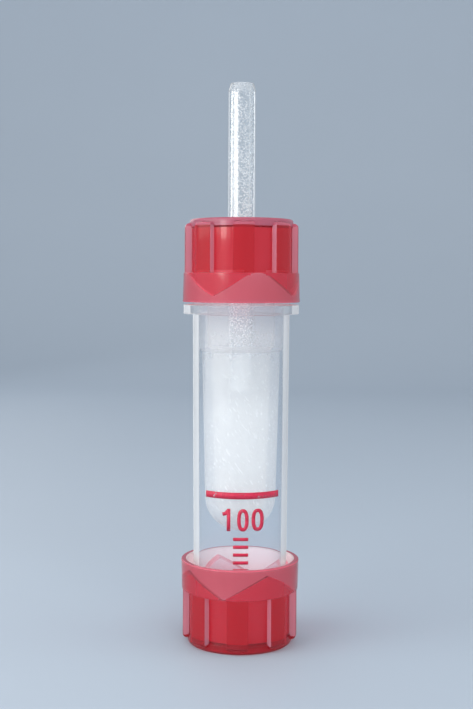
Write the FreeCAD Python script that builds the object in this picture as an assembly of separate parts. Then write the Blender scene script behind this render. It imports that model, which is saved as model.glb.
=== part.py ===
"""Capillary blood collection tube, standing on its spare closure cap.

Five moulded or drawn pieces on one vertical axis. A thin-walled carrier tube stands with its foot
in the closure cap. The sample tube hangs in the carrier from a stop ring, and its neck stands up
through the carrier's flange. The capillary cap sits on that neck and grips the capillary in a
sleeve. Both caps have the same outer form: a ribbed band, a thin skirt, and a crown of teeth
inside the skirt that leads the cap onto the neck or the foot.

Z is up and the origin is the middle of the face that the whole set stands on. Angles about Z are
measured from the front, -Y, towards +X. Lengths are millimetres.
"""
import FreeCAD, Part

import math
import os

# Capillary
CAPILLARY_OD = 3.1
CAPILLARY_BORE = 1.9
CAPILLARY_LENGTH = 35.0
CAPILLARY_STANDOUT = 15.5  # how far it stands above the capillary cap
BEVEL_LENGTH = 0.85  # along the axis, at both ends
BEVEL_DEPTH = 0.25  # on the radius

# Seat that either cap grips: the sample tube's neck and the carrier tube's foot
SEAT_OD = 10.4
SEAT_LEAD = 0.25

# Outer form that both caps share, with heights from the closed face and walls on the radius
CAP_HEIGHT = 9.4
END_WALL = 1.1
END_BAND = 1.0
END_STEP = 0.15  # the plain end band beyond the groove floors
END_BEVEL = 0.32
GROOVE_WALL = 0.52  # between the grip bore and the groove floors
RIB_COUNT = 8
RIB_ANGLE = 22.0
RIB_PHASE = -2.1
RIB_HEIGHT = 0.725  # beyond the groove floors
RIB_START = 0.5
RIB_BEVEL = 0.35
SHOULDER_HEIGHT = 6.1
SKIRT_ROOT_WALL = 0.575
SKIRT_RIM_WALL = 0.675
RIM_BEVEL = 0.15

# Crown of teeth that fills the skirt down to the grip bore
CROWN_WALL = 0.77
TOOTH_COUNT = 4
TOOTH_PHASE = 28.4
TOOTH_RECESS = 0.72  # tooth tips below the rim
ARCH_ROUNDING = 2.3  # valleys of the capillary cap, seen as arches
VEE_ROUNDING = 0.4  # valleys of the closure cap

# Sealing plug of the closure cap and gripping sleeve of the capillary cap
PLUG_DEPTH = 2.6
PLUG_WALL = 0.8
PLUG_LEAD = 0.25
SLEEVE_WALL = 0.94
SLEEVE_DEPTH = 3.6
SLEEVE_MOUTH = 0.3  # flare where the capillary leaves the cap

# Carrier tube
CARRIER_LENGTH = 37.1
CARRIER_TOP_WALL = 0.7
FOOT_WALL = 0.4
FOOT_STEP = 0.085  # the body beyond the foot, on the radius
FOOT_STEP_RISE = 0.2
FLANGE_STEP = 1.05  # beyond the body, on the radius
FLANGE_THICKNESS = 1.05
FLANGE_BEVEL = 0.12

# Sample tube
STOP_RING_STEP = 0.4  # beyond the neck, on the radius
STOP_RING_HEIGHT = 0.6
NECK_WALL = 1.4
COLLAR_LENGTH = 5.2
COLLAR_LEAD = 0.3
FUNNEL_RISE = 0.6  # from the collar's lower end up to the funnel below the mouth bore
BODY_LENGTH = 20.4  # below the collar
BODY_GAP = 0.375  # between the body's top and the carrier's bore
BODY_DRAFT = 1.475
SAMPLE_WALL = 1.1

# Clearances, on the radius unless said otherwise
GRIP_CLEARANCE = 0.03  # cap on neck or foot
SEAL_CLEARANCE = 0.02  # plug in the sample tube's mouth
PRESS_CLEARANCE = 0.01  # collar in the carrier, capillary in its sleeve
TOOTH_CLEARANCE = 0.2  # along the axis, tooth tips to the end of the foot
RIM_CLEARANCE = 0.3  # along the axis, capillary cap's rim to the flange

# Radii that follow from the sizes above
GRIP_RADIUS = SEAT_OD / 2 + GRIP_CLEARANCE
GROOVE_RADIUS = GRIP_RADIUS + GROOVE_WALL
SKIRT_BORE_RADIUS = GRIP_RADIUS + CROWN_WALL
MOUTH_RADIUS = SEAT_OD / 2 - NECK_WALL
CARRIER_BORE_RADIUS = SEAT_OD / 2 - FOOT_WALL

# Heights that follow from the sizes above
TOOTH_HEIGHT = CAP_HEIGHT - TOOTH_RECESS
FOOT_Z = END_WALL
FOOT_TOP_Z = TOOTH_HEIGHT + TOOTH_CLEARANCE
FLANGE_TOP_Z = FOOT_Z + CARRIER_LENGTH
FLANGE_LOW_Z = FLANGE_TOP_Z - FLANGE_THICKNESS
COLLAR_LOW_Z = FLANGE_TOP_Z - COLLAR_LENGTH
SAMPLE_LOW_Z = COLLAR_LOW_Z - BODY_LENGTH
CAPILLARY_CAP_Z = FLANGE_TOP_Z + RIM_CLEARANCE + CAP_HEIGHT
NECK_TOP_Z = CAPILLARY_CAP_Z - END_WALL
CAPILLARY_TOP_Z = CAPILLARY_CAP_Z + CAPILLARY_STANDOUT
CAPILLARY_LOW_Z = CAPILLARY_TOP_Z - CAPILLARY_LENGTH

ORIGIN = FreeCAD.Vector(0, 0, 0)
UP = FreeCAD.Vector(0, 0, 1)
FRONT = FreeCAD.Vector(0, -1, 0)
ACROSS = FreeCAD.Vector(0, 1, 0)
FULL_TURN = 360.0
TO_FRONT = -90.0  # turns a section drawn over +X to the front
NO_LENGTH = 1e-6  # an edge shorter than this is left out
ROUND, BEVEL = "round", "bevel"  # the two ways to finish a corner of a section


def corner_edge(before, corner, after, finish, size):
    """The edge that rounds a corner to this radius, or bevels it this far along each side."""
    back = (before - corner).normalize()
    onward = (after - corner).normalize()
    half_angle = back.getAngle(onward) / 2
    reach = size / math.tan(half_angle) if finish == ROUND else size
    start = corner + back * reach
    end = corner + onward * reach
    if finish == BEVEL:
        return start, end, Part.LineSegment(start, end)
    inset = size / math.sin(half_angle) - size
    return start, end, Part.Arc(start, corner + (back + onward).normalize() * inset, end)


def section(corners):
    """Flat face over +X from (radius, height) corners, some with a finish and its size."""
    points = [FreeCAD.Vector(corner[0], 0, corner[1]) for corner in corners]
    edges = []
    stops = []
    for i, (_, _, *finish) in enumerate(corners):
        stop = (points[i], points[i])
        if finish:
            *stop, edge = corner_edge(points[i - 1], points[i], points[(i + 1) % len(points)], *finish)
            edges.append(edge.toShape())
        stops.append(stop)
    for i, (_, leave) in enumerate(stops):
        arrive = stops[(i + 1) % len(stops)][0]
        if leave.distanceToPoint(arrive) > NO_LENGTH:
            edges.append(Part.LineSegment(leave, arrive).toShape())
    return Part.Face(Part.Wire(Part.__sortEdges__(edges)))


def turned(corners):
    """Solid of revolution about Z of a section."""
    return section(corners).revolve(ORIGIN, UP, FULL_TURN)


def about_z(shape, degrees):
    """Copy of a shape turned about Z, from the front towards +X."""
    copy = shape.copy()
    copy.rotate(ORIGIN, UP, degrees)
    return copy


def round_bottom(radius, lean):
    """Rounding that turns the corner of a wall with this lean into a bottom with no flat."""
    return radius * math.tan(math.pi / 4 + lean / 2)


def capillary():
    outer = CAPILLARY_OD / 2
    inner = CAPILLARY_BORE / 2
    end = outer - BEVEL_DEPTH
    return turned([
        (inner, CAPILLARY_LOW_Z),
        (end, CAPILLARY_LOW_Z),
        (outer, CAPILLARY_LOW_Z + BEVEL_LENGTH),
        (outer, CAPILLARY_TOP_Z - BEVEL_LENGTH),
        (end, CAPILLARY_TOP_Z),
        (inner, CAPILLARY_TOP_Z),
    ])


def rib():
    """One grip rib, centred on the front and rooted half-way into the groove's wall."""
    root = GROOVE_RADIUS - GROOVE_WALL / 2
    crest = GROOVE_RADIUS + RIB_HEIGHT
    blank = section([
        (root, RIB_START),
        (crest, RIB_START, BEVEL, RIB_BEVEL),
        (crest, SHOULDER_HEIGHT),
        (root, SHOULDER_HEIGHT),
    ]).revolve(ORIGIN, UP, RIB_ANGLE)
    return about_z(blank, TO_FRONT - RIB_ANGLE / 2)


def valley_cutter(rounding):
    """Clears one valley of the crown, run out to the front.

    Two ramps rise to the tooth tips from a rounding that starts level with the shoulder.
    """
    reach = SKIRT_BORE_RADIUS * math.sin(math.pi / TOOTH_COUNT)
    rise = TOOTH_HEIGHT - SHOULDER_HEIGHT
    tangent = math.asin(rounding / math.hypot(reach, rise - rounding))
    slope = math.tan(math.atan2(rise - rounding, reach) + tangent)
    foot = TOOTH_HEIGHT - reach * slope
    half_width = (CAP_HEIGHT - foot) / slope
    profile = section([
        (-half_width, CAP_HEIGHT),
        (0, foot, ROUND, rounding),
        (half_width, CAP_HEIGHT),
    ])
    return profile.extrude(FRONT * SKIRT_BORE_RADIUS)


def crown_cutter(rounding):
    """What is cleared between the grip bore and the skirt, so that the teeth stay."""
    pitch = FULL_TURN / TOOTH_COUNT
    valley = valley_cutter(rounding)
    valleys = [about_z(valley, TOOTH_PHASE + (i + 0.5) * pitch) for i in range(TOOTH_COUNT)]
    reach = Part.makeCylinder(SKIRT_BORE_RADIUS, CAP_HEIGHT)
    return valleys[0].multiFuse(valleys[1:]).common(reach)


def cap_shell(valley_rounding):
    """The form that both caps share, closed face down on z = 0."""
    end_radius = GROOVE_RADIUS + END_STEP
    body = turned([
        (0, 0),
        (end_radius, 0, BEVEL, END_BEVEL),
        (end_radius, END_BAND),
        (GROOVE_RADIUS, END_BAND),
        (GROOVE_RADIUS, SHOULDER_HEIGHT),
        (SKIRT_BORE_RADIUS + SKIRT_ROOT_WALL, SHOULDER_HEIGHT),
        (SKIRT_BORE_RADIUS + SKIRT_RIM_WALL, CAP_HEIGHT, BEVEL, RIM_BEVEL),
        (SKIRT_BORE_RADIUS, CAP_HEIGHT, BEVEL, RIM_BEVEL),
        (SKIRT_BORE_RADIUS, SHOULDER_HEIGHT),
        (0, SHOULDER_HEIGHT),
    ])
    crown = turned([
        (GRIP_RADIUS, SHOULDER_HEIGHT),
        (SKIRT_BORE_RADIUS, SHOULDER_HEIGHT),
        (SKIRT_BORE_RADIUS, TOOTH_HEIGHT),
        (GRIP_RADIUS, TOOTH_HEIGHT),
    ])
    pitch = FULL_TURN / RIB_COUNT
    ribs = [about_z(rib(), RIB_PHASE + i * pitch) for i in range(RIB_COUNT)]
    solid = body.multiFuse([crown.cut(crown_cutter(valley_rounding))] + ribs)
    bore = Part.makeCylinder(GRIP_RADIUS, CAP_HEIGHT, FreeCAD.Vector(0, 0, END_WALL))
    return solid.cut(bore).removeSplitter()


def closure_cap():
    """Cap that the set stands on, with the plug that later seals the sample tube."""
    outer = MOUTH_RADIUS - SEAL_CLEARANCE
    top = END_WALL + PLUG_DEPTH
    plug = turned([
        (outer - PLUG_WALL, END_WALL),
        (outer, END_WALL),
        (outer, top, BEVEL, PLUG_LEAD),
        (outer - PLUG_WALL, top, BEVEL, PLUG_LEAD),
    ])
    return cap_shell(VEE_ROUNDING).fuse(plug).removeSplitter()


def capillary_cap():
    """The same form turned over on the neck, bored and sleeved for the capillary."""
    hole = CAPILLARY_OD / 2 + PRESS_CLEARANCE
    outer = hole + SLEEVE_WALL
    end = END_WALL + SLEEVE_DEPTH
    sleeve = turned([(0, END_WALL), (outer, END_WALL), (outer, end), (0, end)])
    passage = turned([
        (0, 0),
        (hole + SLEEVE_MOUTH, 0),
        (hole, SLEEVE_MOUTH),
        (hole, end - SLEEVE_MOUTH),
        (hole + SLEEVE_MOUTH, end),
        (0, end),
    ])
    cap = cap_shell(ARCH_ROUNDING).fuse(sleeve).cut(passage).removeSplitter()
    cap.rotate(ORIGIN, ACROSS, FULL_TURN / 2)
    cap.translate(UP * CAPILLARY_CAP_Z)
    return cap


def sample_tube():
    """Round-bottomed inner tube with its collar, stop ring and neck."""
    lean = math.radians(BODY_DRAFT)
    neck = SEAT_OD / 2
    ring = neck + STOP_RING_STEP
    ring_top = FLANGE_TOP_Z + STOP_RING_HEIGHT
    collar = CARRIER_BORE_RADIUS - PRESS_CLEARANCE
    body_top = CARRIER_BORE_RADIUS - BODY_GAP
    body_end = body_top - BODY_LENGTH * math.tan(lean)
    funnel_top = COLLAR_LOW_Z + FUNNEL_RISE
    bore_top = body_top - SAMPLE_WALL
    funnel_low = funnel_top - (MOUTH_RADIUS - bore_top)
    bore_low = SAMPLE_LOW_Z + SAMPLE_WALL
    bore_end = bore_top - (funnel_low - bore_low) * math.tan(lean)
    return turned([
        (0, SAMPLE_LOW_Z),
        (body_end, SAMPLE_LOW_Z, ROUND, round_bottom(body_end, lean)),
        (body_top, COLLAR_LOW_Z),
        (collar - COLLAR_LEAD, COLLAR_LOW_Z),
        (collar, COLLAR_LOW_Z + COLLAR_LEAD),
        (collar, FLANGE_TOP_Z),
        (ring, FLANGE_TOP_Z),
        (ring, ring_top),
        (neck, ring_top),
        (neck, NECK_TOP_Z, BEVEL, SEAT_LEAD),
        (MOUTH_RADIUS, NECK_TOP_Z, BEVEL, SEAT_LEAD),
        (MOUTH_RADIUS, funnel_top),
        (bore_top, funnel_low),
        (bore_end, bore_low, ROUND, round_bottom(bore_end, lean)),
        (0, bore_low),
    ])


def carrier_tube():
    """Clear flanged sleeve, open at both ends, with its foot in the closure cap."""
    foot = SEAT_OD / 2
    body_top = CARRIER_BORE_RADIUS + CARRIER_TOP_WALL
    flange = body_top + FLANGE_STEP
    return turned([
        (CARRIER_BORE_RADIUS, FOOT_Z),
        (foot, FOOT_Z, BEVEL, SEAT_LEAD),
        (foot, FOOT_TOP_Z),
        (foot + FOOT_STEP, FOOT_TOP_Z + FOOT_STEP_RISE),
        (body_top, FLANGE_LOW_Z),
        (flange, FLANGE_LOW_Z, BEVEL, FLANGE_BEVEL),
        (flange, FLANGE_TOP_Z, BEVEL, FLANGE_BEVEL),
        (CARRIER_BORE_RADIUS, FLANGE_TOP_Z),
    ])


PIECES = {
    "capillary": capillary,
    "capillary_cap": capillary_cap,
    "sample_tube": sample_tube,
    "carrier_tube": carrier_tube,
    "closure_cap": closure_cap,
}

os.makedirs("parts", exist_ok=True)
for name, make in PIECES.items():
    piece = make()
    assert piece.isValid() and len(piece.Solids) == 1, name
    piece.Solids[0].exportStep(f"parts/{name}.step")
    box = piece.BoundBox
    print(f"{name}: {piece.Volume:.1f} mm3, z {box.ZMin:.2f} to {box.ZMax:.2f}")
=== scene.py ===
"""Looks of the capillary blood collection tube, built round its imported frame.

Lengths are millimetres until a mesh is made, and metres after that. Angles about Z are degrees
from the front, -Y, towards +X, as in the frame. Heights come from the frame's nodes.
"""

import math

import bmesh
import bpy
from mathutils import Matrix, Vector

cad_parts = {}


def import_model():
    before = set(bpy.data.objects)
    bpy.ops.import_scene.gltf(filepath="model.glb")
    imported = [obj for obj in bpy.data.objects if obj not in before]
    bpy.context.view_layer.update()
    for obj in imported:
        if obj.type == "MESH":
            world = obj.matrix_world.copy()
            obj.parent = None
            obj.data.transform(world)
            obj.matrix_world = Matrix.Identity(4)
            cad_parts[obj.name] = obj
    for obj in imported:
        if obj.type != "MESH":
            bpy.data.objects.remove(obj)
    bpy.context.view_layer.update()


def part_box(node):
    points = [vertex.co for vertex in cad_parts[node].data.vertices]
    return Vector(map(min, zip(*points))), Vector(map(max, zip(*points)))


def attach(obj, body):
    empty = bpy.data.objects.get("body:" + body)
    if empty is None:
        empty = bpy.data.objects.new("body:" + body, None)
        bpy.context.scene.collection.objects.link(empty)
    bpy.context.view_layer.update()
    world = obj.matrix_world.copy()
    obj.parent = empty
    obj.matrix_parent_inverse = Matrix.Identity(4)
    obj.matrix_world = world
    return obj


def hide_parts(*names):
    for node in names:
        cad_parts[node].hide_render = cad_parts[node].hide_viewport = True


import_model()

MM = 0.001
FULL_TURN = 360.0


def span(node):
    """Lowest and highest height of a CAD node, in millimetres."""
    low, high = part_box(node)
    return low.z / MM, high.z / MM


CAPILLARY_LOW_Z, CAPILLARY_TOP_Z = span("capillary")
CAPILLARY_CAP_Z = span("capillary_cap")[1]
SAMPLE_LOW_Z, NECK_TOP_Z = span("sample_tube")
FOOT_Z, FLANGE_TOP_Z = span("carrier_tube")
CLOSURE_LOW_Z, CLOSURE_RIM_Z = span("closure_cap")

# Caps: radii, and heights from the closed face
CAP_HEIGHT = CLOSURE_RIM_Z - CLOSURE_LOW_Z
END_WALL = FOOT_Z - CLOSURE_LOW_Z
GRIP_RADIUS = 5.23  # inside, where the cap grips its seat
GROOVE_RADIUS = 5.75
END_RADIUS = 5.9
END_BAND = 1.0
RIB_RADIUS = 6.475
RIB_COUNT = 8
RIB_ANGLE = 22.0
RIB_PHASE = -2.1
RIB_START = 0.5
RIB_ROUNDING = 0.45
SHOULDER_HEIGHT = 6.1  # where the ribs end and the skirt begins
CROWN_ROOT = 0.3  # keeps the points above and below the shoulder clear of it
SKIRT_ROOT_RADIUS = 6.575
SKIRT_RIM_RADIUS = 6.668
SKIRT_BORE_RADIUS = 6.0
TOOTH_COUNT = 4
TOOTH_PHASE = 28.4
TOOTH_HEIGHT = 8.68
ARCH_ROUNDING = 2.3  # valleys between the capillary cap's teeth
VEE_ROUNDING = 0.4  # and the closure cap's
PLUG_OUTER = 3.78
PLUG_INNER = 2.98
PLUG_TOP = 3.7
SLEEVE_RADIUS = 2.5
SLEEVE_END = 4.7
PASSAGE_RADIUS = 1.56
PASSAGE_FLARE = 0.3

# Capillary
CAPILLARY_RADIUS = 1.55
BORE_RADIUS = 0.95
CAPILLARY_BEVEL_LENGTH = 0.85
CAPILLARY_BEVEL_DEPTH = 0.25

# Sample tube and carrier tube
SEAT_RADIUS = 5.2
STOP_RING_RADIUS = 5.6
STOP_RING_HEIGHT = 0.6
MOUTH_RADIUS = 3.8
COLLAR_RADIUS = 4.79
COLLAR_LENGTH = 5.2
COLLAR_LEAD = 0.3
BODY_TOP_RADIUS = 4.425
BODY_LENGTH = 20.4
BODY_DRAFT = 1.475  # lean of the wall in degrees
SAMPLE_WALL = 1.1
FUNNEL_RISE = 0.6
CARRIER_BORE = 4.8
CARRIER_LOW_RADIUS = 5.285
CARRIER_TOP_RADIUS = 5.5
FOOT_TOP_Z = 8.88
FOOT_STEP_RISE = 0.2
FLANGE_RADIUS = 6.55
FLANGE_THICKNESS = 1.05

# Edges and mesh
EDGE = 0.08  # rounding of a moulded edge
LIP_EDGE = EDGE * 2
RIM_EDGE = EDGE * 1.5
END_EDGE = EDGE * 4
FINE_EDGE = EDGE / 2
SHARP_EDGE = EDGE / 4
AIR = 0.008  # left between faces that touch, so that light passes them cleanly
HOLD = 0.03  # from a rounding to the next point, which keeps the flat beside it flat
SEGMENTS = 240
SMALL_ARC_STEPS = 6
WIDE_ARC_STEPS = 30
WIDE_ARC = 1.0  # a rounding of this radius or more is wide
RIB_EDGE_STEPS = (-0.9, -0.62, -0.45, -0.3, -0.15, 0.0, 0.15, 0.3, 0.45, 0.62, 0.9)
RIB_EDGE_REACH = 0.62  # degrees either side of a rib's edge over which it rises
VALLEY_STEPS = (-4.0, -3.0, -2.2, -1.5, -1.0, -0.5, 0.0, 0.5, 1.0, 1.5, 2.2, 3.0, 4.0)
TOOTH_STEPS = (-1.0, -0.4, -0.15, 0.0, 0.15, 0.4, 1.0)
EVEN_STEPS = 120

# Zones of a cap, which are told apart by where a face lies and which way it turns
ZONE = "zone"  # attribute that holds the zone
RIM_DEPTH = EDGE * 1.4
RIM_INSIDE = EDGE * 4
RIB_FOOT = RIB_START + RIB_ROUNDING * 0.75
SIDEWAYS = 0.93  # a face that turns this much round the axis is a rib's side
UPWARD = 0.3  # a face of the crown that turns this much up or down is a ramp


# ---------------------------------------------------------------- meshes

def place(radius, z, degrees):
    """Point in metres at a radius and height, at an angle from the front."""
    angle = math.radians(degrees)
    return Vector((radius * math.sin(angle), -radius * math.cos(angle), z)) * MM


def rounded(corners):
    """Profile through (radius, height[, rounding]) corners, with points on each rounding's arc."""
    points = [Vector(corner[:2]) for corner in corners]
    profile = []
    for i, corner in enumerate(corners):
        here = points[i]
        if len(corner) == 2:
            profile.append(here)
            continue
        size = corner[2]
        back = (points[i - 1] - here).normalized()
        onward = (points[(i + 1) % len(points)] - here).normalized()
        opening = back.angle(onward)
        reach = size / math.tan(opening / 2)
        centre = here + (back + onward).normalized() * (size / math.sin(opening / 2))
        start = here + back * reach - centre
        turn = math.pi - opening
        side = 1 if back.x * onward.y - back.y * onward.x < 0 else -1
        wide = size >= WIDE_ARC
        count = WIDE_ARC_STEPS if wide else SMALL_ARC_STEPS
        if not wide:
            profile.append(here + back * (reach + HOLD))
        for k in range(count + 1):
            angle = side * turn * k / count
            cosine, sine = math.cos(angle), math.sin(angle)
            offset = Vector((start.x * cosine - start.y * sine, start.x * sine + start.y * cosine))
            profile.append(centre + offset)
        if not wide:
            profile.append(here + onward * (reach + HOLD))
    return profile


def new_piece(name, vertices, faces):
    """Smooth mesh object from vertices in metres, its faces turned outward."""
    mesh = bpy.data.meshes.new(name)
    mesh.from_pydata(vertices, [], faces)
    shape = bmesh.new()
    shape.from_mesh(mesh)
    bmesh.ops.recalc_face_normals(shape, faces=shape.faces)
    shape.to_mesh(mesh)
    shape.free()
    mesh.polygons.foreach_set("use_smooth", [True] * len(mesh.polygons))
    piece = bpy.data.objects.new(name, mesh)
    bpy.context.scene.collection.objects.link(piece)
    return piece


def swept(name, angles, profile_at, closed):
    """Piece whose section at each angle is profile_at(angle); open sections end on the axis."""
    profiles = [profile_at(angle) for angle in angles]
    count = len(profiles[0])
    vertices = []
    index = {}
    for i, profile in enumerate(profiles):
        for j, (radius, z) in enumerate(profile):
            on_axis = not closed and j in (0, count - 1)
            if on_axis and i > 0:
                index[i, j] = index[0, j]
                continue
            index[i, j] = len(vertices)
            vertices.append(place(radius, z, angles[i]))
    faces = []
    for i in range(len(angles)):
        after = (i + 1) % len(angles)
        for j in range(count if closed else count - 1):
            further = (j + 1) % count
            loop = [index[i, j], index[i, further], index[after, further], index[after, j]]
            faces.append(list(dict.fromkeys(loop)))
    return new_piece(name, vertices, faces)


def turned(name, corners, closed=True):
    """Piece of revolution from the corners of its section."""
    profile = [tuple(point) for point in rounded(corners)]
    angles = [FULL_TURN * i / SEGMENTS for i in range(SEGMENTS)]
    return swept(name, angles, lambda angle: profile, closed)


# ---------------------------------------------------------------- caps

def from_nearest(angle, phase, count):
    """Signed degrees from the nearest of evenly spaced directions."""
    pitch = FULL_TURN / count
    return (angle - phase + pitch / 2) % pitch - pitch / 2


def rib_share(angle):
    """0 on a groove floor, 1 on a rib, with a soft rise across the rib's side."""
    inside = RIB_ANGLE / 2 - abs(from_nearest(angle, RIB_PHASE, RIB_COUNT))
    share = min(max(inside / RIB_EDGE_REACH / 2 + 0.5, 0.0), 1.0)
    return share * share * (3 - 2 * share)


def crown_height(angle, radius, rounding):
    """Height of the crown's top: ramps that rise to the tooth tips from rounded valleys."""
    half_pitch = FULL_TURN / TOOTH_COUNT / 2
    reach = SKIRT_BORE_RADIUS * math.sin(math.radians(half_pitch))
    rise = TOOTH_HEIGHT - SHOULDER_HEIGHT - rounding
    lean = math.atan2(rise, reach) + math.asin(rounding / math.hypot(reach, rise))
    from_valley = from_nearest(angle, TOOTH_PHASE + half_pitch, TOOTH_COUNT)
    across = abs(radius * math.sin(math.radians(from_valley)))
    if across < rounding * math.sin(lean):
        return SHOULDER_HEIGHT + rounding - math.sqrt(rounding ** 2 - across ** 2)
    return TOOTH_HEIGHT - (reach - across) * math.tan(lean)


def around(count, phase, steps):
    """Angles that lie these steps from each of evenly spaced directions."""
    directions = [phase + FULL_TURN * i / count for i in range(count)]
    return {round((direction + step) % FULL_TURN, 3) for direction in directions for step in steps}


def cap_angles():
    """Angles of a cap's sections: even steps, and close ones at rib edges, valleys and teeth."""
    return sorted(
        around(EVEN_STEPS, 0.0, (0.0,))
        | around(RIB_COUNT, RIB_PHASE - RIB_ANGLE / 2, RIB_EDGE_STEPS)
        | around(RIB_COUNT, RIB_PHASE + RIB_ANGLE / 2, RIB_EDGE_STEPS)
        | around(TOOTH_COUNT, TOOTH_PHASE, TOOTH_STEPS)
        | around(TOOTH_COUNT, TOOTH_PHASE + FULL_TURN / TOOTH_COUNT / 2, VALLEY_STEPS)
    )


def outer_wall(angle):
    """Cap's outside from the end band to the shoulder, blended between groove and rib."""
    start = (END_RADIUS, RIB_START - HOLD)
    end = (SKIRT_ROOT_RADIUS - EDGE, SHOULDER_HEIGHT)
    groove = rounded([
        start,
        (END_RADIUS, END_BAND, EDGE),
        (GROOVE_RADIUS, END_BAND, FINE_EDGE),
        (GROOVE_RADIUS, SHOULDER_HEIGHT, FINE_EDGE),
        end,
    ])
    ridge = rounded([
        start,
        (END_RADIUS, RIB_START, SHARP_EDGE),
        (RIB_RADIUS, RIB_START, RIB_ROUNDING),
        (RIB_RADIUS, SHOULDER_HEIGHT, SHARP_EDGE),
        end,
    ])
    share = rib_share(angle)
    return [low.lerp(high, share) for low, high in zip(groove, ridge)][:-1]


def cap_section(angle, rounding, inner):
    """Section of a cap at an angle, from the closed face outward, up, and back in to `inner`."""
    high = crown_height(angle, SKIRT_BORE_RADIUS, rounding)
    low = crown_height(angle, GRIP_RADIUS, rounding)
    # A point on the skirt's outside follows the crown's top, so that the teeth show through it
    behind = max(high, SHOULDER_HEIGHT + CROWN_ROOT)
    flare = (SKIRT_RIM_RADIUS - SKIRT_ROOT_RADIUS) / (CAP_HEIGHT - SHOULDER_HEIGHT)
    end = rounded([(0, 0), (END_RADIUS, 0, END_EDGE), (END_RADIUS, RIB_START - HOLD)])[1:-1]
    rim = rounded([
        (SKIRT_ROOT_RADIUS - EDGE, SHOULDER_HEIGHT),
        (SKIRT_ROOT_RADIUS, SHOULDER_HEIGHT, FINE_EDGE),
        (SKIRT_ROOT_RADIUS + (behind - SHOULDER_HEIGHT) * flare, behind),
        (SKIRT_RIM_RADIUS, CAP_HEIGHT, RIM_EDGE),
        (SKIRT_BORE_RADIUS, CAP_HEIGHT, RIM_EDGE),
        (SKIRT_BORE_RADIUS, SHOULDER_HEIGHT),
    ])[1:-1]
    crown = rounded([
        (SKIRT_BORE_RADIUS, CAP_HEIGHT),
        (SKIRT_BORE_RADIUS, high, FINE_EDGE),
        (GRIP_RADIUS, low, FINE_EDGE),
        (GRIP_RADIUS, SHOULDER_HEIGHT - CROWN_ROOT),
        (GRIP_RADIUS, END_WALL, FINE_EDGE),
        (inner[0][0], END_WALL),
    ])[1:-1]
    section = end + outer_wall(angle) + rim + crown + rounded(inner)[1:]
    return [tuple(point) for point in section]


def closure_section(angle):
    """Closed end, with the sealing plug standing on it."""
    return [(0, 0)] + cap_section(angle, VEE_ROUNDING, [
        (GRIP_RADIUS - EDGE, END_WALL),
        (PLUG_OUTER, END_WALL, FINE_EDGE),
        (PLUG_OUTER, PLUG_TOP, LIP_EDGE),
        (PLUG_INNER, PLUG_TOP, LIP_EDGE),
        (PLUG_INNER, END_WALL, FINE_EDGE),
        (0, END_WALL),
    ])


def passage_section(angle):
    """End bored for the capillary, with the gripping sleeve under it."""
    flare = PASSAGE_RADIUS + PASSAGE_FLARE
    return cap_section(angle, ARCH_ROUNDING, [
        (GRIP_RADIUS - EDGE, END_WALL),
        (SLEEVE_RADIUS, END_WALL, FINE_EDGE),
        (SLEEVE_RADIUS, SLEEVE_END, FINE_EDGE),
        (flare, SLEEVE_END, FINE_EDGE),
        (PASSAGE_RADIUS, SLEEVE_END - PASSAGE_FLARE, FINE_EDGE),
        (PASSAGE_RADIUS, PASSAGE_FLARE, FINE_EDGE),
        (flare, 0, FINE_EDGE),
        (END_RADIUS, 0),
    ])[:-1]


def zone_of(face, closed_z, end_zone, turn, rounding):
    """Name of the zone that a face of a cap belongs to; `turn` is -1 for the cap turned over."""
    centre, normal = face.center, face.normal
    angle = turn * math.degrees(math.atan2(centre.x, -centre.y))
    radius = math.hypot(centre.x, centre.y)
    sideways = abs(centre.x * normal.y - centre.y * normal.x) / max(radius, MM)
    radius /= MM
    height = abs(centre.z / MM - closed_z)
    if height > SHOULDER_HEIGHT:
        if height > CAP_HEIGHT - RIM_DEPTH:
            # Rim: a painted highlight on its inner edge, and lighter painted light on its top
            return "rim_edge_painted_highlight" if radius < SKIRT_BORE_RADIUS + RIM_INSIDE else "rim"
        if radius > SKIRT_BORE_RADIUS + FINE_EDGE:
            crown_top = crown_height(angle, SKIRT_BORE_RADIUS, rounding)
            return "tooth" if height < crown_top else "skirt"
        if radius > SKIRT_BORE_RADIUS - FINE_EDGE:
            # The skirt's inside and the crown's top are near-white in the material, as painted
            # light
            return "bore"
        return "ramp" if abs(normal.z) > UPWARD else "crown"
    if radius > GROOVE_RADIUS - EDGE:
        if height < RIB_FOOT:
            return end_zone
        # Rib sides: a pale painted sheen in the material
        if sideways > SIDEWAYS:
            return "rib_side_painted_sheen"
        return "rib" if radius > (GROOVE_RADIUS + RIB_RADIUS) / 2 else "groove"
    return end_zone if height < END_WALL / 2 else "inner"


def zone_place(name):
    """Value between 0 and 1 that stands for a zone."""
    return list(CAP_ZONES).index(name) / (len(CAP_ZONES) - 1)


def mark_zones(cap, closed_z, end_zone, turn, rounding):
    """Write each face's zone on it, for the material."""
    zone = cap.data.attributes.new(ZONE, "FLOAT", "FACE")
    for face in cap.data.polygons:
        name = zone_of(face, closed_z, end_zone, turn, rounding)
        zone.data[face.index].value = zone_place(name)
    return cap


def closure_cap():
    """Cap that the set stands on."""
    cap = swept("closure_cap_moulding", cap_angles(), closure_section, closed=False)
    return mark_zones(cap, CLOSURE_LOW_Z, "rib", 1, VEE_ROUNDING)


def capillary_cap():
    """The same form turned over: angles change sign, and heights run down from its closed face."""
    def section(angle):
        return [(radius, CAPILLARY_CAP_Z - height) for radius, height in passage_section(-angle)]
    angles = sorted(-angle % FULL_TURN for angle in cap_angles())
    cap = swept("capillary_cap_moulding", angles, section, closed=True)
    # Its end band takes a paler zone than the closure cap's, which is painted light from above
    return mark_zones(cap, CAPILLARY_CAP_Z, "open_end_painted_light", -1, ARCH_ROUNDING)


# ---------------------------------------------------------------- tubes

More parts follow.
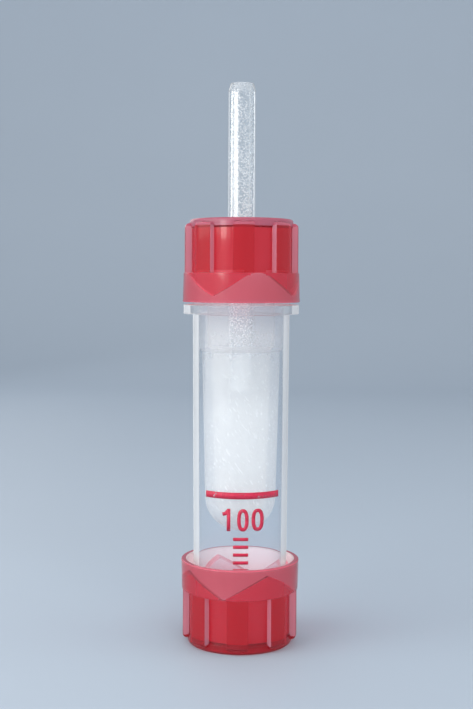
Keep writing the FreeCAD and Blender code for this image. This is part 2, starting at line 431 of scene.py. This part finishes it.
def capillary():
    """Drawn tube with a long bevel at both ends."""
    end = CAPILLARY_RADIUS - CAPILLARY_BEVEL_DEPTH
    return turned("capillary_tube", [
        (BORE_RADIUS, CAPILLARY_LOW_Z, FINE_EDGE),
        (end, CAPILLARY_LOW_Z, EDGE),
        (CAPILLARY_RADIUS, CAPILLARY_LOW_Z + CAPILLARY_BEVEL_LENGTH, EDGE),
        (CAPILLARY_RADIUS, CAPILLARY_TOP_Z - CAPILLARY_BEVEL_LENGTH, EDGE),
        (end, CAPILLARY_TOP_Z - AIR, EDGE),
        (BORE_RADIUS, CAPILLARY_TOP_Z - AIR, FINE_EDGE),
    ])


def sample_tube():
    """Round-bottomed inner tube with its collar, stop ring and neck."""
    lean = math.radians(BODY_DRAFT)
    ball = math.tan(math.pi / 4 + lean / 2)  # rounding over radius that fills a leaning wall's end
    collar_low = FLANGE_TOP_Z - COLLAR_LENGTH
    body_end = BODY_TOP_RADIUS - BODY_LENGTH * math.tan(lean)
    bore_top = BODY_TOP_RADIUS - SAMPLE_WALL
    funnel_top = collar_low + FUNNEL_RISE
    funnel_low = funnel_top - (MOUTH_RADIUS - bore_top)
    bore_low = SAMPLE_LOW_Z + SAMPLE_WALL
    bore_end = bore_top - (funnel_low - bore_low) * math.tan(lean)
    ring_top = FLANGE_TOP_Z + STOP_RING_HEIGHT
    return turned("sample_tube_moulding", [
        (0, SAMPLE_LOW_Z),
        (body_end, SAMPLE_LOW_Z, body_end * ball - AIR),
        (BODY_TOP_RADIUS, collar_low, EDGE),
        (COLLAR_RADIUS - COLLAR_LEAD, collar_low, FINE_EDGE),
        (COLLAR_RADIUS, collar_low + COLLAR_LEAD, EDGE),
        (COLLAR_RADIUS, FLANGE_TOP_Z + AIR, FINE_EDGE),
        (STOP_RING_RADIUS, FLANGE_TOP_Z + AIR, FINE_EDGE),
        (STOP_RING_RADIUS, ring_top, EDGE),
        (SEAT_RADIUS, ring_top, FINE_EDGE),
        (SEAT_RADIUS, NECK_TOP_Z - AIR, LIP_EDGE),
        (MOUTH_RADIUS, NECK_TOP_Z - AIR, LIP_EDGE),
        (MOUTH_RADIUS, funnel_top, EDGE),
        (bore_top, funnel_low, EDGE),
        (bore_end, bore_low, bore_end * ball - AIR),
        (0, bore_low),
    ], closed=False)


def carrier_tube():
    """Clear flanged sleeve, open at both ends."""
    flange_low = FLANGE_TOP_Z - FLANGE_THICKNESS
    return turned("carrier_tube_moulding", [
        (CARRIER_BORE, FOOT_Z + AIR, FINE_EDGE),
        (SEAT_RADIUS, FOOT_Z + AIR, LIP_EDGE),
        (SEAT_RADIUS, FOOT_TOP_Z, EDGE),
        (CARRIER_LOW_RADIUS, FOOT_TOP_Z + FOOT_STEP_RISE, EDGE),
        (CARRIER_TOP_RADIUS, flange_low, EDGE),
        (FLANGE_RADIUS, flange_low, EDGE),
        (FLANGE_RADIUS, FLANGE_TOP_Z, EDGE),
        (CARRIER_BORE, FLANGE_TOP_Z, EDGE),
    ])


# ---------------------------------------------------------------- colours and nodes

def linear(red, green, blue):
    """Scene-linear colour with full alpha from 0-255 display values."""
    def channel(value):
        share = value / 255
        return share / 12.92 if share <= 0.04045 else ((share + 0.055) / 1.055) ** 2.4
    return channel(red), channel(green), channel(blue), 1.0


FLOOR_COLOUR = linear(173, 188, 205)
FLOOR_MOTTLE = linear(176, 191, 208)
SKY_COLOUR = linear(192, 202, 213)
CAPILLARY_TINT = linear(250, 252, 253)
CARRIER_TINT = linear(250, 252, 254)
PLASTIC_IOR = 1.49

# Each zone of a cap: its colour's share over clear plastic, that colour, the part of it lit from
# behind, and the tint of light passing. Some colours are painted light, marked below. "tooth" is
# the skirt in front of the crown, "bore" is the skirt's inside, and "rim_edge_painted_highlight"
# is the rim's inner edge.
CAP_ZONES = {
    # painted highlight: a near-white line along the rim's inner edge
    "rim_edge_painted_highlight": (0.90, linear(255, 246, 250), 0.35, linear(250, 240, 244)),
    # painted light: the rim's top and outer edge are lighter pink than the skirt
    "rim": (0.70, linear(226, 110, 132), 0.35, linear(250, 240, 244)),
    "skirt": (0.42, linear(156, 88, 104), 0.35, linear(250, 244, 246)),
    "tooth": (0.55, linear(220, 68, 90), 0.35, linear(250, 244, 246)),
    # painted light: the skirt's inside is near-white, as light falling into the cup
    "bore": (0.95, linear(255, 248, 253), 0.02, linear(252, 244, 248)),
    # painted light: the crown's top is near-white, as light falling into the cup
    "crown": (0.86, linear(255, 228, 242), 0.04, linear(250, 236, 240)),
    "ramp": (0.84, linear(252, 176, 194), 0.20, linear(250, 236, 240)),
    # painted sheen: rib sides pale pink, as light catching the flanks
    "rib_side_painted_sheen": (0.56, linear(242, 168, 190), 0.22, linear(250, 236, 240)),
    # painted light: the end band is paler pink than the closure cap's, as light from above
    "open_end_painted_light": (0.50, linear(244, 138, 168), 0.35, linear(250, 236, 240)),
    "groove": (0.36, linear(212, 38, 56), 0.35, linear(248, 232, 236)),
    "rib": (0.56, linear(206, 36, 52), 0.35, linear(246, 225, 230)),
    "inner": (0.85, linear(246, 134, 152), 0.35, linear(240, 192, 202)),
}

# Rays that show the plain background, and rays that pass clear plastic unbent
VIEWING_RAYS = ("Is Camera Ray", "Is Glossy Ray", "Is Transmission Ray")
LIGHTING_RAYS = ("Is Shadow Ray", "Is Diffuse Ray")


class Nodes:
    """Short way to build the node tree of a material or a world."""

    def __init__(self, owner, output="ShaderNodeOutputMaterial"):
        self.owner = owner
        self.owner.use_nodes = True
        self.tree = self.owner.node_tree
        self.tree.nodes.clear()
        self.output = self.add(output)

    def add(self, kind, values=None, **settings):
        """A node with socket values, or links where the value is a socket."""
        node = self.tree.nodes.new(kind)
        for setting, value in settings.items():
            setattr(node, setting, value)
        for socket, value in (values or {}).items():
            if isinstance(value, bpy.types.NodeSocket):
                self.tree.links.new(value, node.inputs[socket])
            else:
                node.inputs[socket].default_value = value
        return node

    def out(self, kind, values=None, **settings):
        """First output of a new node."""
        return self.add(kind, values, **settings).outputs[0]

    def surface(self, shader):
        """The material or world, finished with this shader."""
        self.tree.links.new(shader, self.output.inputs["Surface"])
        return self.owner

    def math(self, operation, first, second=0.0):
        """Result of an operation on one or two values."""
        return self.out("ShaderNodeMath", {0: first, 1: second}, operation=operation)

    def position(self):
        """Place on the object, in metres."""
        return self.add("ShaderNodeTexCoord").outputs["Object"]

    def part(self, vector, axis):
        """X, Y or Z of a vector."""
        return self.add("ShaderNodeSeparateXYZ", {0: vector}).outputs[axis]

    def between(self, start, end):
        """0 at one height and 1 at another, both in millimetres."""
        return self.out("ShaderNodeMapRange", {"Value": self.part(self.position(), "Z"),
                                               "From Min": start * MM, "From Max": end * MM})

    def noise(self, scale, detail, roughness, upright=1.0, lean=0.0):
        """Noise in features per metre, times `upright` along Z, leaned about Y in radians."""
        leaned = self.out("ShaderNodeVectorRotate", {"Vector": self.position(), "Angle": lean},
                          rotation_type="Y_AXIS")
        mapped = self.out("ShaderNodeMapping", {"Vector": leaned, "Scale": (1.0, 1.0, upright)})
        return self.out("ShaderNodeTexNoise", {"Vector": mapped, "Scale": scale, "Detail": detail,
                                               "Roughness": roughness})

    def steps(self, value, *stops):
        """Value remapped along (position, result) stops."""
        greys = [(position, (result, result, result, 1.0)) for position, result in stops]
        return self.hues(value, *greys)

    def hues(self, value, *stops):
        """Colour along (position, linear colour) stops."""
        ramp = self.add("ShaderNodeValToRGB", {"Fac": value})
        marks = ramp.color_ramp.elements
        while len(marks) < len(stops):
            marks.new(0.5)
        for mark, (position, colour) in zip(marks, stops):
            mark.position = position
            mark.color = colour
        return ramp.outputs[0]

    def tone(self, share, first, second):
        """Colour from the first to the second."""
        return self.add("ShaderNodeMix", {0: share, 6: first, 7: second},
                        data_type="RGBA").outputs[2]

    def blend(self, share, first, second):
        """Shader from the first to the second."""
        return self.out("ShaderNodeMixShader", {0: share, 1: first, 2: second})

    def bump(self, height, strength, distance):
        """Normal that follows a height."""
        return self.out("ShaderNodeBump", {"Height": height, "Strength": strength,
                                           "Distance": distance})

    def turned_away(self, blend):
        """0 where the surface is seen straight on, 1 where it is seen edge on."""
        return self.add("ShaderNodeLayerWeight", {"Blend": blend}).outputs["Facing"]

    def rays(self, *kinds):
        """1 for rays of these kinds, 0 for others."""
        path = self.add("ShaderNodeLightPath")
        found = path.outputs[kinds[0]]
        for kind in kinds[1:]:
            found = self.math("MAXIMUM", found, path.outputs[kind])
        return found


# ---------------------------------------------------------------- materials

# How far a clear wall is turned away at the end of its front, and from and to where it is a side
# with an even painted sheen
FRONT_END = 0.39
SIDE_START = 0.43
SIDE_END = 0.65


def clear_plastic(name, tint, haze, side_painted_sheen, edge_painted_sheen, gloss):
    """Polished clear moulding: gloss, bent light, haze, and painted sheen where seen edge on."""
    nodes = Nodes(bpy.data.materials.new(name))
    wave = nodes.bump(nodes.noise(scale=260.0, detail=2.0, roughness=0.5, upright=0.35),
                      strength=0.2, distance=0.00004)
    bent = nodes.out("ShaderNodeBsdfRefraction", {"Color": tint, "Roughness": 0.0,
                                                  "IOR": PLASTIC_IOR, "Normal": wave})
    shine = nodes.out("ShaderNodeBsdfGlossy", {"Roughness": gloss, "Normal": wave})
    fresnel = nodes.out("ShaderNodeFresnel", {"IOR": PLASTIC_IOR, "Normal": wave})
    haze_and_sheen_white = nodes.out("ShaderNodeBsdfDiffuse", {"Color": linear(244, 247, 250)})
    # Painted sheen: white haze that thickens at the sides and edges, as light in a wall seen edge
    # on
    haze_and_painted_sheen = nodes.steps(nodes.turned_away(blend=0.35), (0.0, haze), (FRONT_END, haze),
                       (SIDE_START, side_painted_sheen), (SIDE_END, side_painted_sheen), (1.0, edge_painted_sheen))
    body = nodes.blend(haze_and_painted_sheen, nodes.blend(fresnel, bent, shine), haze_and_sheen_white)
    by = nodes.out("ShaderNodeBsdfTransparent", {"Color": linear(254, 254, 255)})
    return nodes.surface(nodes.blend(nodes.rays(*LIGHTING_RAYS), body, by))


BACKLIT_SHARE = 0.35  # part of the milky plastic that is lit from behind
SPECK_HAZE = 0.15
SHADOW_LOSS = 0.6  # share of the milky haze that shadow rays don't meet
# Millimetres above the collar's lower edge, and the share of the sample tube's full haze there
MILKINESS = (
    (-7.0, 1.0), (-4.5, 0.76), (-0.4, 0.62), (0.4, 0.58), (1.6, 0.58), (2.6, 0.42), (3.6, 0.30),
    (4.8, 0.30), (COLLAR_LENGTH, 0.48),
)


def milky_plastic(name):
    """Translucent sample tube: soft white body with dried droplets drawn out along the wall."""
    nodes = Nodes(bpy.data.materials.new(name))
    collar_low = FLANGE_TOP_Z - COLLAR_LENGTH
    start, end = MILKINESS[0][0], MILKINESS[-1][0]
    rise = nodes.between(collar_low + start, collar_low + end)

    def along(*stops):
        """Value along (millimetres above the collar's lower edge, result) stops."""
        whole = end - start
        return nodes.steps(rise, *(((height - start) / whole, result) for height, result in stops))

    streaks = nodes.noise(scale=900.0, detail=3.0, roughness=0.6, upright=0.35)
    droplets = nodes.noise(scale=5000.0, detail=1.0, roughness=0.4, upright=0.22, lean=0.6)
    specks = nodes.steps(droplets, (0.63, 0.0), (0.70, 1.0))
    fine = nodes.bump(streaks, strength=0.15, distance=0.00003)
    body = nodes.out("ShaderNodeBsdfPrincipled", {"Base Color": linear(245, 245, 244),
                                                  "Roughness": 0.3, "IOR": 1.5, "Normal": fine})
    glow = nodes.out("ShaderNodeBsdfTranslucent", {"Color": linear(247, 247, 247)})
    solid = nodes.blend(BACKLIT_SHARE, body, glow)
    clear = nodes.out("ShaderNodeBsdfTransparent", {"Color": linear(253, 254, 254)})

    # Haze: streaks and specks by height, then a painted glint on faces that slope down at the
    # collar, then a painted white outline where the wall is seen edge on
    haze = nodes.steps(streaks, (0.3, 0.41), (0.7, 0.46))
    haze = nodes.math("ADD", haze, nodes.math("MULTIPLY", specks, SPECK_HAZE))
    haze = nodes.math("MULTIPLY", haze, along(*MILKINESS))
    normal = nodes.add("ShaderNodeNewGeometry").outputs["Normal"]
    painted_collar_glint = nodes.math("MULTIPLY", nodes.part(normal, "Z"), -1.0)
    painted_collar_glint = nodes.steps(painted_collar_glint, (0.25, 0.0), (0.45, 0.30), (0.8, 0.30), (0.9, 0.0))
    painted_collar_glint = nodes.math("MULTIPLY", painted_collar_glint, along((-3.34, 0.0), (-0.9, 1.0)))
    painted_outline = nodes.steps(nodes.turned_away(blend=0.3), (0.0, 0.0), (0.6, 0.0), (1.0, 0.45))
    haze = nodes.math("ADD", nodes.math("ADD", haze, painted_collar_glint), painted_outline)

    # Shadow rays meet less of it
    lost = nodes.math("MULTIPLY", nodes.rays("Is Shadow Ray"), SHADOW_LOSS)
    haze = nodes.math("MULTIPLY", haze, nodes.math("SUBTRACT", 1.0, lost))
    wall = nodes.blend(haze, clear, solid)

    # Gloss, on outer faces alone and mostly at the collar
    back_face = nodes.add("ShaderNodeNewGeometry").outputs["Backfacing"]
    bare = nodes.math("MAXIMUM", back_face, nodes.rays(*LIGHTING_RAYS))
    bare = nodes.math("SUBTRACT", 1.0, bare)
    polish = nodes.math("MULTIPLY", nodes.out("ShaderNodeFresnel", {"IOR": PLASTIC_IOR}), bare)
    polish = nodes.math("MULTIPLY", polish, along((-2.12, 0.2), (0.32, 1.0)))
    shine = nodes.out("ShaderNodeBsdfGlossy", {"Roughness": 0.12, "Normal": fine})
    return nodes.surface(nodes.blend(polish, wall, shine))


def red_plastic(name):
    """Translucent red moulding: pale where seen bare, deep red through its thickness, painted light
    in zones.
    """
    nodes = Nodes(bpy.data.materials.new(name))
    zone = nodes.add("ShaderNodeAttribute", attribute_name=ZONE).outputs["Fac"]

    def column(ramp, index):
        """One column of the zones' looks, as a ramp over the zones."""
        return ramp(zone, *((zone_place(key), look[index]) for key, look in CAP_ZONES.items()))

    share = column(nodes.steps, 0)
    colour_and_painted_light = column(nodes.hues, 1)
    behind = column(nodes.steps, 2)
    passing = column(nodes.hues, 3)
    wave = nodes.bump(nodes.noise(scale=700.0, detail=3.0, roughness=0.5),
                      strength=0.12, distance=0.00002)
    glass = nodes.out("ShaderNodeBsdfGlass", {"Roughness": 0.04, "IOR": PLASTIC_IOR,
                                              "Normal": wave})
    body = nodes.out("ShaderNodeBsdfPrincipled", {"Base Color": colour_and_painted_light, "Roughness": 0.25,
                                                  "IOR": PLASTIC_IOR, "Normal": wave})
    glow = nodes.out("ShaderNodeBsdfTranslucent", {"Color": colour_and_painted_light, "Normal": wave})
    mixed = nodes.blend(share, glass, nodes.blend(behind, body, glow))
    by = nodes.out("ShaderNodeBsdfTransparent", {"Color": passing})
    absorption = nodes.out("ShaderNodeVolumeAbsorption", {"Color": linear(234, 110, 140),
                                                          "Density": 1800.0})
    nodes.tree.links.new(absorption, nodes.output.inputs["Volume"])
    return nodes.surface(nodes.blend(nodes.rays(*LIGHTING_RAYS), mixed, by))


def ink(name):
    """Screen-printed red ink with a slightly broken film."""
    nodes = Nodes(bpy.data.materials.new(name))
    film = nodes.noise(scale=5200.0, detail=3.0, roughness=0.6)
    thin = nodes.steps(film, (0.35, 0.0), (0.7, 1.0))
    colour = nodes.tone(thin, linear(176, 24, 56), linear(198, 44, 80))
    body = nodes.out("ShaderNodeBsdfPrincipled", {"Base Color": colour, "Roughness": 0.45})
    gap = nodes.out("ShaderNodeBsdfTransparent")
    pores = nodes.noise(scale=3400.0, detail=2.0, roughness=0.6)
    cover = nodes.steps(pores, (0.30, 0.25), (0.40, 1.0))
    return nodes.surface(nodes.blend(cover, gap, body))


def coated_bore(name):
    """Capillary's bore with specks of dried additive, denser towards its lower end."""
    nodes = Nodes(bpy.data.materials.new(name))
    descent = nodes.between(CAPILLARY_TOP_Z, CAPILLARY_LOW_Z)
    at_cap = (CAPILLARY_TOP_Z - CAPILLARY_CAP_Z) / (CAPILLARY_TOP_Z - CAPILLARY_LOW_Z)
    density = nodes.steps(descent, (0.0, 0.35), (at_cap, 0.95), (1.0, 3.0))
    cells = nodes.out("ShaderNodeTexVoronoi", {"Vector": nodes.position(), "Scale": 4800.0})
    dots = nodes.steps(cells, (0.18, 0.9), (0.46, 0.06))
    clouds = nodes.noise(scale=500.0, detail=2.0, roughness=0.5, upright=0.4)
    patches = nodes.steps(clouds, (0.35, 0.5), (0.65, 1.0))
    share = nodes.math("MULTIPLY", dots, nodes.math("MULTIPLY", patches, density))
    dimples = nodes.bump(dots, strength=0.5, distance=0.00003)
    glass = nodes.out("ShaderNodeBsdfGlass", {"Roughness": 0.0, "IOR": 1.5, "Normal": dimples})
    white = nodes.out("ShaderNodeBsdfDiffuse", {"Color": linear(250, 252, 253)})
    body = nodes.blend(share, glass, white)
    by = nodes.out("ShaderNodeBsdfTransparent")
    return nodes.surface(nodes.blend(nodes.rays(*LIGHTING_RAYS), body, by))


# Metres to the side or to the front at which the floor begins and ends to fade
FADE_START = 0.17
FADE_END = 0.36


def floor_paint(name):
    """Plain pale floor and backdrop, faintly mottled, that fade to the world's colour far out."""
    nodes = Nodes(bpy.data.materials.new(name))
    mottle = nodes.noise(scale=14.0, detail=2.0, roughness=0.5)
    paint = nodes.tone(mottle, FLOOR_COLOUR, FLOOR_MOTTLE)
    body = nodes.out("ShaderNodeBsdfPrincipled", {"Base Color": paint, "Roughness": 0.6})
    sideways = nodes.math("ABSOLUTE", nodes.part(nodes.position(), "X"))
    forward = nodes.math("MULTIPLY", nodes.part(nodes.position(), "Y"), -1.0)
    fade = nodes.steps(nodes.math("MAXIMUM", sideways, forward), (FADE_START, 0.0), (FADE_END, 1.0))
    sky = nodes.out("ShaderNodeEmission", {"Color": SKY_COLOUR})
    far = nodes.math("MULTIPLY", fade, nodes.rays(*VIEWING_RAYS))
    return nodes.surface(nodes.blend(far, body, sky))


# ---------------------------------------------------------------- print on the carrier

INK_THICKNESS = 0.01
INK_LIFT = 0.006
FILL_LINE = (-45.0, 52.0, 16.97, 17.69)  # from and to in degrees, low and high
FILL_LINE_STEPS = 60

# Digits, placed by distances to the right of the middle
DIGIT_LOW_Z = 13.45
DIGIT_TOP_Z = 15.90
DIGIT_STROKE = 0.40
ONE_RIGHT = -1.07
ONE_FLAG = ((-1.94, 0.62), (-1.62, 0.55), (-1.37, 0.25))  # and distances below the top
ZEROS = ((-0.33, 0.94), (1.25, 2.60))  # left and right side
ZERO_POINTS = 40
ZERO_SQUARENESS = (0.72, 0.9)  # powers of cosine and sine; 1 is an ellipse, and 0 a rectangle

# Bars under the number
MARK_LEFT = -0.77
MARK_RIGHT = 0.90
MARK_TOP_Z = 12.75
MARK_PITCH = 0.86
MARK_HEIGHT = 0.36
MARK_COUNT = 5
MARK_STEPS = 10


def carrier_radius(z):
    """Outer radius of the carrier's foot or tapered body at a height."""
    if z < FOOT_TOP_Z:
        return SEAT_RADIUS
    low = FOOT_TOP_Z + FOOT_STEP_RISE
    share = max(z - low, 0) / (FLANGE_TOP_Z - FLANGE_THICKNESS - low)
    return CARRIER_LOW_RADIUS + (CARRIER_TOP_RADIUS - CARRIER_LOW_RADIUS) * share


def printed(name, strips):
    """Thin ink on the carrier, from strips of (left, right) edge points, each (degrees, z)."""
    vertices = []
    faces = []
    for strip, looped in strips:
        # Each section has its left and right point on the inside, then the same on the outside
        base = len(vertices)
        for edges in strip:
            for lift in (INK_LIFT, INK_LIFT + INK_THICKNESS):
                for degrees, z in edges:
                    vertices.append(place(carrier_radius(z) + lift, z, degrees))
        last = len(strip) if looped else len(strip) - 1
        for i in range(last):
            here = base + 4 * i
            there = base + 4 * ((i + 1) % len(strip))
            for a, b in ((0, 1), (1, 3), (3, 2), (2, 0)):
                faces.append([here + a, here + b, there + b, there + a])
        if not looped:
            for end in (base, base + 4 * last):
                faces.append([end, end + 1, end + 3, end + 2])
    return new_piece(name, vertices, faces)


def on_front(x, z):
    """Angle and height of a point printed x to the right of the middle."""
    return math.degrees(math.asin(x / carrier_radius(z))), z


def ribbon(path, looped=False):
    """Strip of the digit stroke's width along (x, z) points."""
    strip = []
    for i, point in enumerate(path):
        before = path[i - 1] if looped or i > 0 else point
        after = path[(i + 1) % len(path)] if looped or i < len(path) - 1 else point
        side = (Vector(after) - Vector(before)).normalized().orthogonal() * DIGIT_STROKE / 2
        middle = Vector(point)
        strip.append((on_front(*(middle - side)), on_front(*(middle + side))))
    return strip, looped


def squarish(value, power):
    """A cosine or sine raised to a power, with its sign kept."""
    return math.copysign(abs(value) ** power, value)


def zero(left, right):
    """Stroke of a tall oval digit between two sides."""
    centre = (left + right) / 2
    middle = (DIGIT_LOW_Z + DIGIT_TOP_Z) / 2
    half_width = (right - left - DIGIT_STROKE) / 2
    half_height = (DIGIT_TOP_Z - DIGIT_LOW_Z - DIGIT_STROKE) / 2
    across, up = ZERO_SQUARENESS
    path = []
    for i in range(ZERO_POINTS):
        angle = math.radians(FULL_TURN * i / ZERO_POINTS)
        x = centre + squarish(math.cos(angle), across) * half_width
        z = middle + squarish(math.sin(angle), up) * half_height
        path.append((x, z))
    return ribbon(path, looped=True)


def print_number():
    """The number 100."""
    stem = ONE_RIGHT - DIGIT_STROKE / 2
    return printed("print_number", [
        ribbon([(stem, DIGIT_LOW_Z), (stem, DIGIT_TOP_Z)]),
        ribbon([(x, DIGIT_TOP_Z - drop) for x, drop in ONE_FLAG]),
        *(zero(left, right) for left, right in ZEROS),
    ])


def bar(start, end, low, high, steps):
    """Strip round the carrier between two angles."""
    strip = []
    for i in range(steps + 1):
        degrees = start + (end - start) * i / steps
        strip.append(((degrees, low), (degrees, high)))
    return strip, False


def print_line():
    """The fill line."""
    return printed("print_line", [bar(*FILL_LINE, FILL_LINE_STEPS)])


def print_marks():
    """The bars under the number."""
    strips = []
    for i in range(MARK_COUNT):
        high = MARK_TOP_Z - i * MARK_PITCH
        low = high - MARK_HEIGHT
        start, _ = on_front(MARK_LEFT, low)
        end, _ = on_front(MARK_RIGHT, low)
        strips.append(bar(start, end, low, high, MARK_STEPS))
    return printed("print_marks", strips)


# ---------------------------------------------------------------- pieces on their bodies

BORE_TURN = 0.1  # a bore's faces turn less than this up or down
END_TURN = 0.2  # the capillary's ends and bevels turn more


def dress(piece, body, materials, node=None):
    """Materials and body of a piece, and the CAD node that it stands for, which is hidden."""
    for material in materials:
        piece.data.materials.append(material)
    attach(piece, body)
    if node:
        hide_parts(node)
    return piece


def line_bore(piece, radius):
    """Give the faces of a bore the piece's second material."""
    reach = (radius + FINE_EDGE) * MM
    for face in piece.data.polygons:
        if math.hypot(face.center.x, face.center.y) < reach and abs(face.normal.z) < BORE_TURN:
            face.material_index = 1


def paint_end_glints(piece):
    """Give the faces at a tube's ends the piece's third material, with its painted glints."""
    for face in piece.data.polygons:
        if abs(face.normal.z) > END_TURN:
            face.material_index = 2


capillary_piece = dress(capillary(), "capillary_unit", [
    clear_plastic("capillary_clear", CAPILLARY_TINT,
                  haze=0.02, side_painted_sheen=0.03, edge_painted_sheen=0.25, gloss=0.03),
    coated_bore("capillary_coating"),
    # Ends: hazy clear plastic, partly a frosted end and partly painted glints
    clear_plastic("capillary_end_painted_glints", CAPILLARY_TINT,
                  haze=0.10, side_painted_sheen=0.20, edge_painted_sheen=0.40, gloss=0.05),
], "capillary")
line_bore(capillary_piece, BORE_RADIUS)
paint_end_glints(capillary_piece)

dress(capillary_cap(), "capillary_unit", [red_plastic("cap_red_plastic")],
      "capillary_cap")
dress(closure_cap(), "base_cap", [red_plastic("closure_red_plastic")],
      "closure_cap")
dress(sample_tube(), "tube", [milky_plastic("sample_milky_plastic")],
      "sample_tube")
carrier_piece = dress(carrier_tube(), "tube", [
    clear_plastic("carrier_clear_plastic", CARRIER_TINT,
                  haze=0.04, side_painted_sheen=0.44, edge_painted_sheen=0.80, gloss=0.12),
    clear_plastic("carrier_clear_bore", CARRIER_TINT,
                  haze=0.03, side_painted_sheen=0.03, edge_painted_sheen=0.25, gloss=0.12),
], "carrier_tube")
line_bore(carrier_piece, CARRIER_BORE)
print_ink = ink("print_red_ink")
for printed_piece in (print_line(), print_number(), print_marks()):
    dress(printed_piece, "tube", [print_ink])


# ---------------------------------------------------------------- stage, light and camera

# All lengths from here on are metres
FLOOR_HALF_WIDTH = 0.9
FLOOR_FRONT = -1.1
BACKDROP_AT = 0.55
BACKDROP_BEND = 0.25
BACKDROP_HEIGHT = 0.9
BEND_STEPS = 24

LAMP_COLOUR = (1.0, 0.955, 0.905)
# Name, degrees from the front, distance from the axis, lower and upper end, width, radiance, and
# whether the lamp shows in gloss and through plastic
SOFTBOXES = (
    ("key_left", -60.0, 0.22, 0.054, 0.36, 0.30, 1.95, True, False),
    ("strip_left", -66.0, 0.24, 0.04, 0.36, 0.07, 1.2, False, True),
    ("glint_left", -40.0, 0.22, 0.053, 0.080, 0.05, 6.0, True, False),
    ("low_left", -58.0, 0.22, 0.004, 0.032, 0.32, 2.4, True, False),
    ("rim_left", -152.0, 0.35, 0.065, 0.30, 0.22, 1.0, True, True),
    ("fill_right", 75.0, 0.30, 0.02, 0.30, 0.25, 1.3, False, False),
    ("fill_front", 15.0, 0.50, 0.12, 0.50, 0.40, 3.0, False, False),
    ("fill_low", 5.0, 0.40, 0.03, 0.16, 0.40, 1.5, False, False),
)
WORLD_COLOUR = (1.0, 0.985, 0.96, 1.0)
WORLD_STRENGTH = 0.58

CAMERA_DISTANCE = 0.136
CAMERA_HEIGHT = 0.041
NEAREST_SEEN = 0.01
LENS = 60.56  # millimetres, as is the sensor
SENSOR = 36.0
SHIFT_X = -0.0069
SHIFT_Y = -0.105
ROLL = -0.3  # degrees


def backdrop():
    """Floor that bends up behind the object in one sheet."""
    bend_from = BACKDROP_AT - BACKDROP_BEND
    path = [(FLOOR_FRONT, 0.0), (bend_from, 0.0)]
    for i in range(1, BEND_STEPS + 1):
        angle = math.pi / 2 * i / BEND_STEPS
        y = bend_from + BACKDROP_BEND * math.sin(angle)
        z = BACKDROP_BEND * (1 - math.cos(angle))
        path.append((y, z))
    path.append((BACKDROP_AT, BACKDROP_HEIGHT))
    vertices = [(x, y, z) for y, z in path for x in (-FLOOR_HALF_WIDTH, FLOOR_HALF_WIDTH)]
    faces = [[2 * i, 2 * i + 1, 2 * i + 3, 2 * i + 2] for i in range(len(path) - 1)]
    sheet = new_piece("studio_floor", vertices, faces)
    sheet.data.materials.append(floor_paint("studio_paint"))


def softbox(name, azimuth, distance, low, high, width, radiance, in_gloss, through_plastic):
    """Upright area light between two heights that faces the object's axis."""
    angle = math.radians(azimuth)
    away = Vector((math.sin(angle), -math.cos(angle), 0))
    data = bpy.data.lights.new(name, "AREA")
    data.shape = "RECTANGLE"
    data.size = width
    data.size_y = high - low
    data.energy = radiance * math.pi * width * (high - low)
    data.color = LAMP_COLOUR
    lamp = bpy.data.objects.new(name, data)
    lamp.location = away * distance + Vector((0, 0, (low + high) / 2))
    lamp.rotation_euler = away.to_track_quat("Z", "Y").to_euler()
    lamp.visible_camera = False
    lamp.visible_transmission = through_plastic
    lamp.visible_glossy = in_gloss
    bpy.context.scene.collection.objects.link(lamp)


def world():
    """Plain soft light from all round, and the sky colour where the world itself shows."""
    nodes = Nodes(bpy.data.worlds.new("studio_world"), "ShaderNodeOutputWorld")
    light = nodes.out("ShaderNodeBackground", {"Color": WORLD_COLOUR, "Strength": WORLD_STRENGTH})
    sky = nodes.out("ShaderNodeBackground", {"Color": SKY_COLOUR})
    bpy.context.scene.world = nodes.surface(nodes.blend(nodes.rays(*VIEWING_RAYS), light, sky))


def camera():
    """Camera at the photograph's viewing angle."""
    data = bpy.data.cameras.new("camera")
    data.sensor_fit = "VERTICAL"
    data.sensor_height = SENSOR
    data.lens = LENS
    data.shift_x = SHIFT_X
    data.shift_y = SHIFT_Y
    data.clip_start = NEAREST_SEEN
    eye = bpy.data.objects.new("camera", data)
    eye.location = (0, -CAMERA_DISTANCE, CAMERA_HEIGHT)
    eye.rotation_euler = (math.pi / 2, math.radians(ROLL), 0)
    bpy.context.scene.collection.objects.link(eye)
    bpy.context.scene.camera = eye


backdrop()
for box in SOFTBOXES:
    softbox(*box)
world()
camera()
bpy.context.scene.view_settings.view_transform = "Standard"
